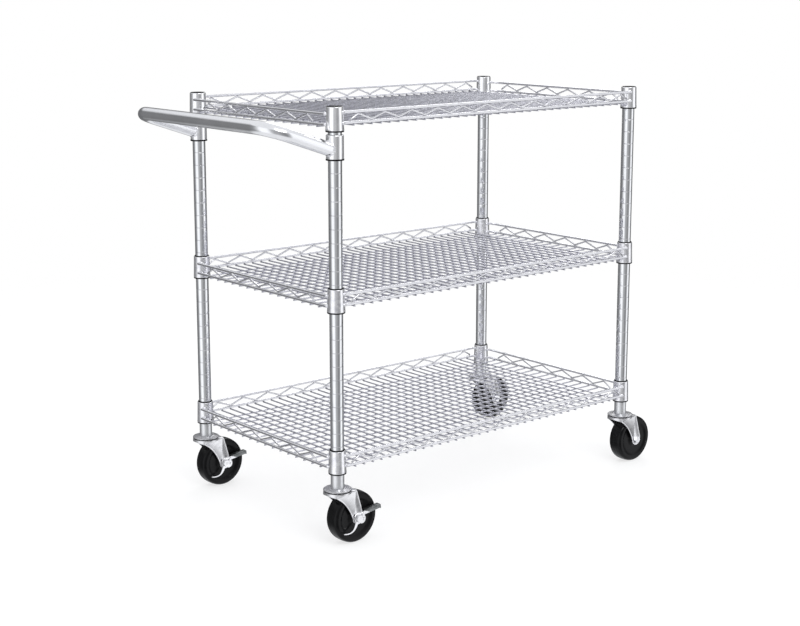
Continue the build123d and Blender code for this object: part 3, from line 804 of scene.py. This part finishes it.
def skirt(bm, axis, foot, steps=32):
    """The crown's drawn edge, deepening from the back towards each leg."""
    half = LEG_INSIDE + LEG_THICKNESS
    swing = 180 - math.degrees(math.asin(half / CROWN_R))
    inner = CROWN_R - SKIRT_THICKNESS
    back, top, edge = foot - 1.0, foot + 1.5, 0.4
    rings = []
    for i in range(steps + 1):
        angle = math.radians(swing + (360 - 2 * swing) * i / steps)
        share = abs(math.sin(angle)) * CROWN_R / half
        low = back - (back - LEG_SKIRT_Z) * share ** 2
        section = [(CROWN_R, top), (CROWN_R, low + edge), (CROWN_R - 0.5, low)]
        section += [(inner + edge, low), (inner, low + edge), (inner, top)]
        ring = []
        for radius, height in section:
            spot = Vector((radius * math.cos(angle), radius * math.sin(angle), height))
            ring.append(bm.verts.new(Vector(axis) + spot * MM))
        rings.append(ring)
    for one, two in zip(rings, rings[1:]):
        for j in range(6):
            k = (j + 1) % 6
            bm.faces.new((one[j], one[k], two[k], two[j]))
    bm.faces.new(rings[0])
    bm.faces.new(rings[-1])


def make_fork(corner):
    """A pressed yoke: a round crown with a nose, legs with raised borders, and soft edges."""
    node = f"caster_fork_{corner}"
    axis = on_post(corner, 0.0)
    scale = millimetres(axis)
    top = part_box(node)[1].z / MM
    crown_foot = top - CROWN_THICKNESS
    trail = (AXLE[corner].x - axis.x) / MM
    axle = AXLE[corner].z / MM
    bm = bmesh.new()
    half = LEG_INSIDE + LEG_THICKNESS
    meet = math.degrees(math.asin(half / CROWN_R))
    nose_x, nose_r = CROWN_NOSE_X, CROWN_NOSE_R
    crown = arc((0, 0), CROWN_R, meet, 360 - meet, 48)
    crown += arc((nose_x, nose_r - half), nose_r, -90, 0, 4)
    crown += arc((nose_x, half - nose_r), nose_r, 0, 90, 4)
    slab(bm, crown, scale @ Matrix.Translation((0, 0, crown_foot)), CROWN_THICKNESS, bevel=CROWN_EDGE)
    skirt(bm, axis, crown_foot)
    outline = leg_outline(trail, axle, top - LEG_TOP_DROP)
    for side in (-1, 1):
        place = scale @ upright(side) @ Matrix.Translation((0, 0, LEG_INSIDE))
        slab(bm, outline, place, LEG_THICKNESS, bevel=LEG_EDGE, pressed=(LEG_BORDER, LEG_PRESS))
    piece(f"{node}_yoke", bm, f"swivel_{corner}", "zinc_steel", (node,), smooth=40)


def wheel_profile(radius, boss, half):
    """Half the wheel's outline as (radius, offset from the middle), hub to tread."""
    side = [(6.05, boss), (9.6, boss), (10.0, boss - 0.5), (12.2, boss - 0.5), (12.6, boss - 1.0)]
    side += [(15.0, half - 1.6), (17.5, half - 2.6), (21.0, half - 2.9)]
    side += [(31.0, half - 2.7), (34.0, half - 2.2)]
    side += [(35.6, half - 1.2), (37.2, half - 0.3), (39.0, half), (42.0, half)]
    side += [(h, w) for w, h in arc((half - 7.0, radius - 7.6), 7.0, 4, 84, 8)]
    side += [(radius - 0.15, half - 11.0), (radius, 3.0), (radius, 0.4), (radius - 0.12, 0.0)]
    return side


def make_wheel(corner):
    """A solid wheel turned from one outline, with a stepped hub, a dished web and a rounded tread."""
    node = f"wheel_{corner}"
    low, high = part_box(node)
    radius = (high.z - low.z) / 2 / MM
    half_profile = wheel_profile(radius, (high.y - low.y) / 2 / MM, TREAD_HALF)
    mirrored = [(r, -w) for r, w in reversed(half_profile)][1:]
    bm = bmesh.new()
    lathe(bm, half_profile + mirrored, AXLE[corner], axis="Y", sides=96)
    piece(f"{node}_tyre", bm, node, "black_wheel", (node,), smooth=30)


def side_place(at, face):
    """Maps (x, z, outwards towards -Y) beside an axle to the frame, from a face's offset."""
    return millimetres(at) @ upright(-1) @ Matrix.Translation((0, 0, face))


def lever_outline():
    """The stamped brake lever about the axle: hub, cam, arm and curved tail in one outline."""
    outline = list(LEVER_TOP)
    outline += arc((0, 0), LEVER_HUB_R, 70, 213, 14)
    outline += bow(*LEVER_TAIL_BACK, 14)[1:]
    outline += LEVER_TAIL_TIP
    outline += bow(*LEVER_TAIL_FRONT, 14)[1:]
    outline += arc((0, 0), LEVER_HUB_R, 262, 286, 3)
    outline += arc(LEVER_CAM, LEVER_CAM_R, 237, 420, 16)
    outline += LEVER_ARM
    return outline


def stadium(centre, length, width, angle):
    """A rounded slot's outline."""
    a = math.radians(angle)
    reach = (length - width) / 2
    along = (math.cos(a), math.sin(a))
    ends = [(centre[0] + s * reach * along[0], centre[1] + s * reach * along[1]) for s in (1, -1)]
    near = arc(ends[0], width / 2, angle - 90, angle + 90, 8)
    return near + arc(ends[1], width / 2, angle + 90, angle + 270, 8)


def make_lever(corner):
    """The bright lever with its two cam lobes."""
    node = f"brake_lever_{corner}"
    at = AXLE[corner]
    face = (at.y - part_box(node)[1].y) / MM
    bm = bmesh.new()
    slab(bm, lever_outline(), side_place(at, face), LEVER_THICKNESS, bevel=LEVER_EDGE)
    for centre, length, width, angle in LOBES:
        place = side_place(at, face + LEVER_THICKNESS - LOBE_SINK)
        slab(bm, stadium(centre, length, width, angle), place, LEVER_THICKNESS, bevel=LOBE_EDGE)
    piece(f"{node}_plate", bm, f"brake_{corner}", "zinc_steel", (node,), smooth=40, variant="cam")


def make_pedal(corner):
    """The dull ribbed pedal along the lever's arm, with a lip at its tip and a stiffening side."""
    node = f"brake_pedal_{corner}"
    at = AXLE[corner]
    outside, inside = (end.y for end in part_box(node))
    width = (inside - outside) / MM
    root, tip = Vector(PEDAL_ROOT), Vector(PEDAL_TIP)
    length, slope = (tip - root).length, math.atan2(tip.y - root.y, tip.x - root.x)

    def tilted(points):
        c, s = math.cos(slope), math.sin(slope)
        return [(root.x + u * c - v * s, root.y + u * s + v * c) for u, v in points]

    place = side_place(at, (at.y - inside) / MM)
    bm = bmesh.new()
    nose = length + PEDAL_THICKNESS
    tread = [(0, 0), (length, 0), (length + 1.7, -0.4), (nose, -1.2), (nose, -PEDAL_LIP)]
    tread += [(length, -PEDAL_LIP), (length, -PEDAL_THICKNESS), (0, -PEDAL_THICKNESS)]
    slab(bm, tilted(tread), place, width, bevel=0.45)
    ribs = place @ Matrix.Translation((0, 0, RIB_INSET))
    for i in range(RIB_COUNT):
        start = RIB_START + i * RIB_PITCH
        slab(bm, tilted([(start + u, v) for u, v in RIB]), ribs, width - 2 * RIB_INSET, bevel=0)
    side = [(2.0, -1.0), (4.0, -4.5), (10.0, -7.5), (length, -7.5), (length, -1.0)]
    outer = place @ Matrix.Translation((0, 0, width - PEDAL_SIDE))
    slab(bm, tilted(side), outer, PEDAL_SIDE, bevel=0.4)
    piece(f"{node}_tread", bm, f"brake_{corner}", "pedal_steel", (node,), smooth=40)


# ---------------------------------------------------------------- stage, light and camera

# The floor, in metres: it glows so that it meets the white surround, and fades out between two radii
FLOOR_R = 6.0
FLOOR_GREY = 0.34
FLOOR_GLOW = 0.70
FLOOR_FADE = (0.9, 2.6)


def make_floor():
    """A pale round floor that fades into the white surround and is left out of reflections."""
    bm = bmesh.new()
    bmesh.ops.create_circle(bm, cap_ends=True, segments=96, radius=FLOOR_R)
    mesh = bpy.data.meshes.new("floor")
    bm.to_mesh(mesh)
    bm.free()
    floor = bpy.data.objects.new("floor", mesh)
    bpy.context.scene.collection.objects.link(floor)
    floor.visible_glossy = False
    made = bpy.data.materials.new("floor_white")
    made.use_nodes = True
    tree = made.node_tree
    tree.nodes.clear()
    output = tree.nodes.new("ShaderNodeOutputMaterial")
    diffuse = tree.nodes.new("ShaderNodeBsdfDiffuse")
    diffuse.inputs["Color"].default_value = (FLOOR_GREY, FLOOR_GREY, FLOOR_GREY, 1)
    glow = tree.nodes.new("ShaderNodeEmission")
    glow.inputs["Strength"].default_value = FLOOR_GLOW
    both = tree.nodes.new("ShaderNodeAddShader")
    clear = tree.nodes.new("ShaderNodeBsdfTransparent")
    fade = tree.nodes.new("ShaderNodeMixShader")
    place = tree.nodes.new("ShaderNodeTexCoord")
    length = tree.nodes.new("ShaderNodeVectorMath")
    length.operation = "LENGTH"
    edge = tree.nodes.new("ShaderNodeMapRange")
    edge.interpolation_type = "SMOOTHSTEP"
    edge.inputs["From Min"].default_value, edge.inputs["From Max"].default_value = FLOOR_FADE
    links = tree.links
    links.new(place.outputs["Object"], length.inputs[0])
    links.new(length.outputs["Value"], edge.inputs["Value"])
    links.new(diffuse.outputs[0], both.inputs[0])
    links.new(glow.outputs[0], both.inputs[1])
    links.new(edge.outputs["Result"], fade.inputs["Fac"])
    links.new(both.outputs[0], fade.inputs[1])
    links.new(clear.outputs[0], fade.inputs[2])
    links.new(fade.outputs[0], output.inputs["Surface"])
    mesh.materials.append(made)


# How bright the studio is round the horizon: (heading in degrees from +X towards +Y, brightness)
HORIZON = (
    (0, 0.14), (20, 0.14), (50, 0.20), (90, 0.16), (130, 0.24), (148, 0.34), (162, 0.70), (174, 1.20),
    (204, 1.20), (219, 0.60), (230, 0.44), (242, 0.46), (258, 0.30), (276, 0.26), (290, 0.55), (302, 1.20),
    (320, 1.20), (334, 0.45), (348, 0.16),
)
# How bright it is overhead and underfoot, and its slightly cool tint
STUDIO_BRIGHT = 0.92
STUDIO_TINT = (0.965, 0.975, 1.0, 1)
# The dark part ends at these heights on the unit sphere, below and above the horizon
SHADE_LOW = (-0.74, -0.44)
SHADE_HIGH = (0.30, 0.52)


def make_world():
    """A white studio with a few dark flags that only reflections see; the backdrop is plain white."""
    world = bpy.data.worlds.new("studio")
    bpy.context.scene.world = world
    world.use_nodes = True
    tree = world.node_tree
    tree.nodes.clear()
    links = tree.links

    def math_node(operation, first, second=None):
        node = tree.nodes.new("ShaderNodeMath")
        node.operation = operation
        for socket, value in zip(node.inputs, (first, second)):
            if isinstance(value, (int, float)):
                socket.default_value = value
            elif value is not None:
                links.new(value, socket)
        return node.outputs["Value"]

    place = tree.nodes.new("ShaderNodeTexCoord")
    split = tree.nodes.new("ShaderNodeSeparateXYZ")
    links.new(place.outputs["Generated"], split.inputs[0])
    heading = math_node("ARCTAN2", split.outputs["Y"], split.outputs["X"])
    turn = math_node("FRACT", math_node("DIVIDE", heading, 2 * math.pi))
    around = tree.nodes.new("ShaderNodeValToRGB")
    elements = around.color_ramp.elements
    elements.remove(elements[1])
    for angle, level in HORIZON:
        element = elements.new(angle / 360) if angle else elements[0]
        element.color = (level, level, level, 1)
    links.new(turn, around.inputs["Fac"])

    def edge(start, end):
        node = tree.nodes.new("ShaderNodeMapRange")
        node.interpolation_type = "SMOOTHSTEP"
        node.inputs["From Min"].default_value = start
        node.inputs["From Max"].default_value = end
        links.new(split.outputs["Z"], node.inputs["Value"])
        return node.outputs["Result"]

    shade = math_node("SUBTRACT", edge(*SHADE_LOW), edge(*SHADE_HIGH))
    shaded = math_node("MULTIPLY", around.outputs["Color"], shade)
    bright = math_node("MULTIPLY", math_node("SUBTRACT", 1.0, shade), STUDIO_BRIGHT)
    light = math_node("ADD", shaded, bright)
    studio = tree.nodes.new("ShaderNodeBackground")
    links.new(light, studio.inputs["Strength"])
    studio.inputs["Color"].default_value = STUDIO_TINT
    plain = tree.nodes.new("ShaderNodeBackground")
    plain.inputs["Color"].default_value = (1, 1, 1, 1)
    path = tree.nodes.new("ShaderNodeLightPath")
    mix = tree.nodes.new("ShaderNodeMixShader")
    links.new(path.outputs["Is Camera Ray"], mix.inputs["Fac"])
    links.new(studio.outputs[0], mix.inputs[1])
    links.new(plain.outputs[0], mix.inputs[2])
    output = tree.nodes.new("ShaderNodeOutputWorld")
    links.new(mix.outputs[0], output.inputs["Surface"])


def area_light(name, at, aim, size, power):
    """A rectangular lamp aimed at a point; lengths in metres, power in watts."""
    data = bpy.data.lights.new(name, "AREA")
    data.shape = "RECTANGLE"
    data.size, data.size_y = size
    data.energy = power
    lamp = bpy.data.objects.new(name, data)
    bpy.context.scene.collection.objects.link(lamp)
    lamp.location = at
    lamp.rotation_mode = "QUATERNION"
    lamp.rotation_quaternion = (Vector(aim) - Vector(at)).to_track_quat("-Z", "Y")


# The camera's lens and sensor, its place from the middle of the posts and the bottom shelf, and its aim
LENS = 69.93
SENSOR = 36.0
SHIFT = -0.05
CAMERA_BACK = 82.3 * INCH
CAMERA_SIDE = 94.8 * INCH
CAMERA_RISE = 35.6 * INCH
CAMERA_HEADING = math.radians(49.73)
CAMERA_DOWN = math.radians(10.8)


def make_camera():
    """The camera stands behind the handle end, to the right of someone pushing the cart."""
    grid = (POST_AXIS["rear_right"] + POST_AXIS["front_left"]) / 2
    foot = SHELF_FOOT["bottom_shelf"]
    data = bpy.data.cameras.new("camera")
    data.sensor_width = SENSOR
    data.lens = LENS
    data.shift_y = SHIFT
    data.clip_end = 50.0
    camera = bpy.data.objects.new("camera", data)
    bpy.context.scene.collection.objects.link(camera)
    camera.location = (grid.x - CAMERA_BACK * MM, -CAMERA_SIDE * MM, foot + CAMERA_RISE * MM)
    level = math.cos(CAMERA_DOWN)
    ahead = Vector((math.cos(CAMERA_HEADING) * level, math.sin(CAMERA_HEADING) * level, 0))
    look = ahead - Vector((0, 0, math.sin(CAMERA_DOWN)))
    camera.rotation_mode = "QUATERNION"
    camera.rotation_quaternion = look.to_track_quat("-Z", "Y")
    bpy.context.scene.camera = camera


def main():
    for corner in CORNERS:
        make_post(corner)
        make_fork(corner)
        make_wheel(corner)
    for corner in BRAKED:
        make_lever(corner)
        make_pedal(corner)
    make_caps()
    make_top_plates()
    for shelf in SHELVES:
        make_collars(shelf)
        rise = SLEEVE_RISE if shelf == "top_shelf" else SLEEVE_RISE_LOWER
        make_sleeves(f"{shelf}_sleeve_halves", SHELF_FOOT[shelf], CORNERS, rise)
        make_rails(shelf)
        make_truss(shelf)
        make_deck(shelf)
    make_handle()
    make_handle_collars()
    make_sleeves("handle_sleeve_halves", HANDLE_COLLAR_FOOT, BRAKED)

    # The CAD nodes that stay take their slot's finish, the axle nuts a brighter one
    slots = {part["node"]: part["material_slot"] for part in frame["record"]["subparts"]}
    for node, shown in frame["nodes"].items():
        finish = VARIANTS["cam"] if node.startswith("axle_nut") else MATERIALS[slots[node]]
        shown.data.materials.clear()
        shown.data.materials.append(finish)

    make_floor()
    make_world()
    area_light("key", at=(-0.6, -2.6, 2.4), aim=(0, 0, 0.5), size=(1.8, 1.2), power=38)
    area_light("rim", at=(1.8, 1.6, 2.2), aim=(0, 0, 0.4), size=(1.2, 1.2), power=16)
    make_camera()
    bpy.context.scene.view_settings.view_transform = "Standard"


main()
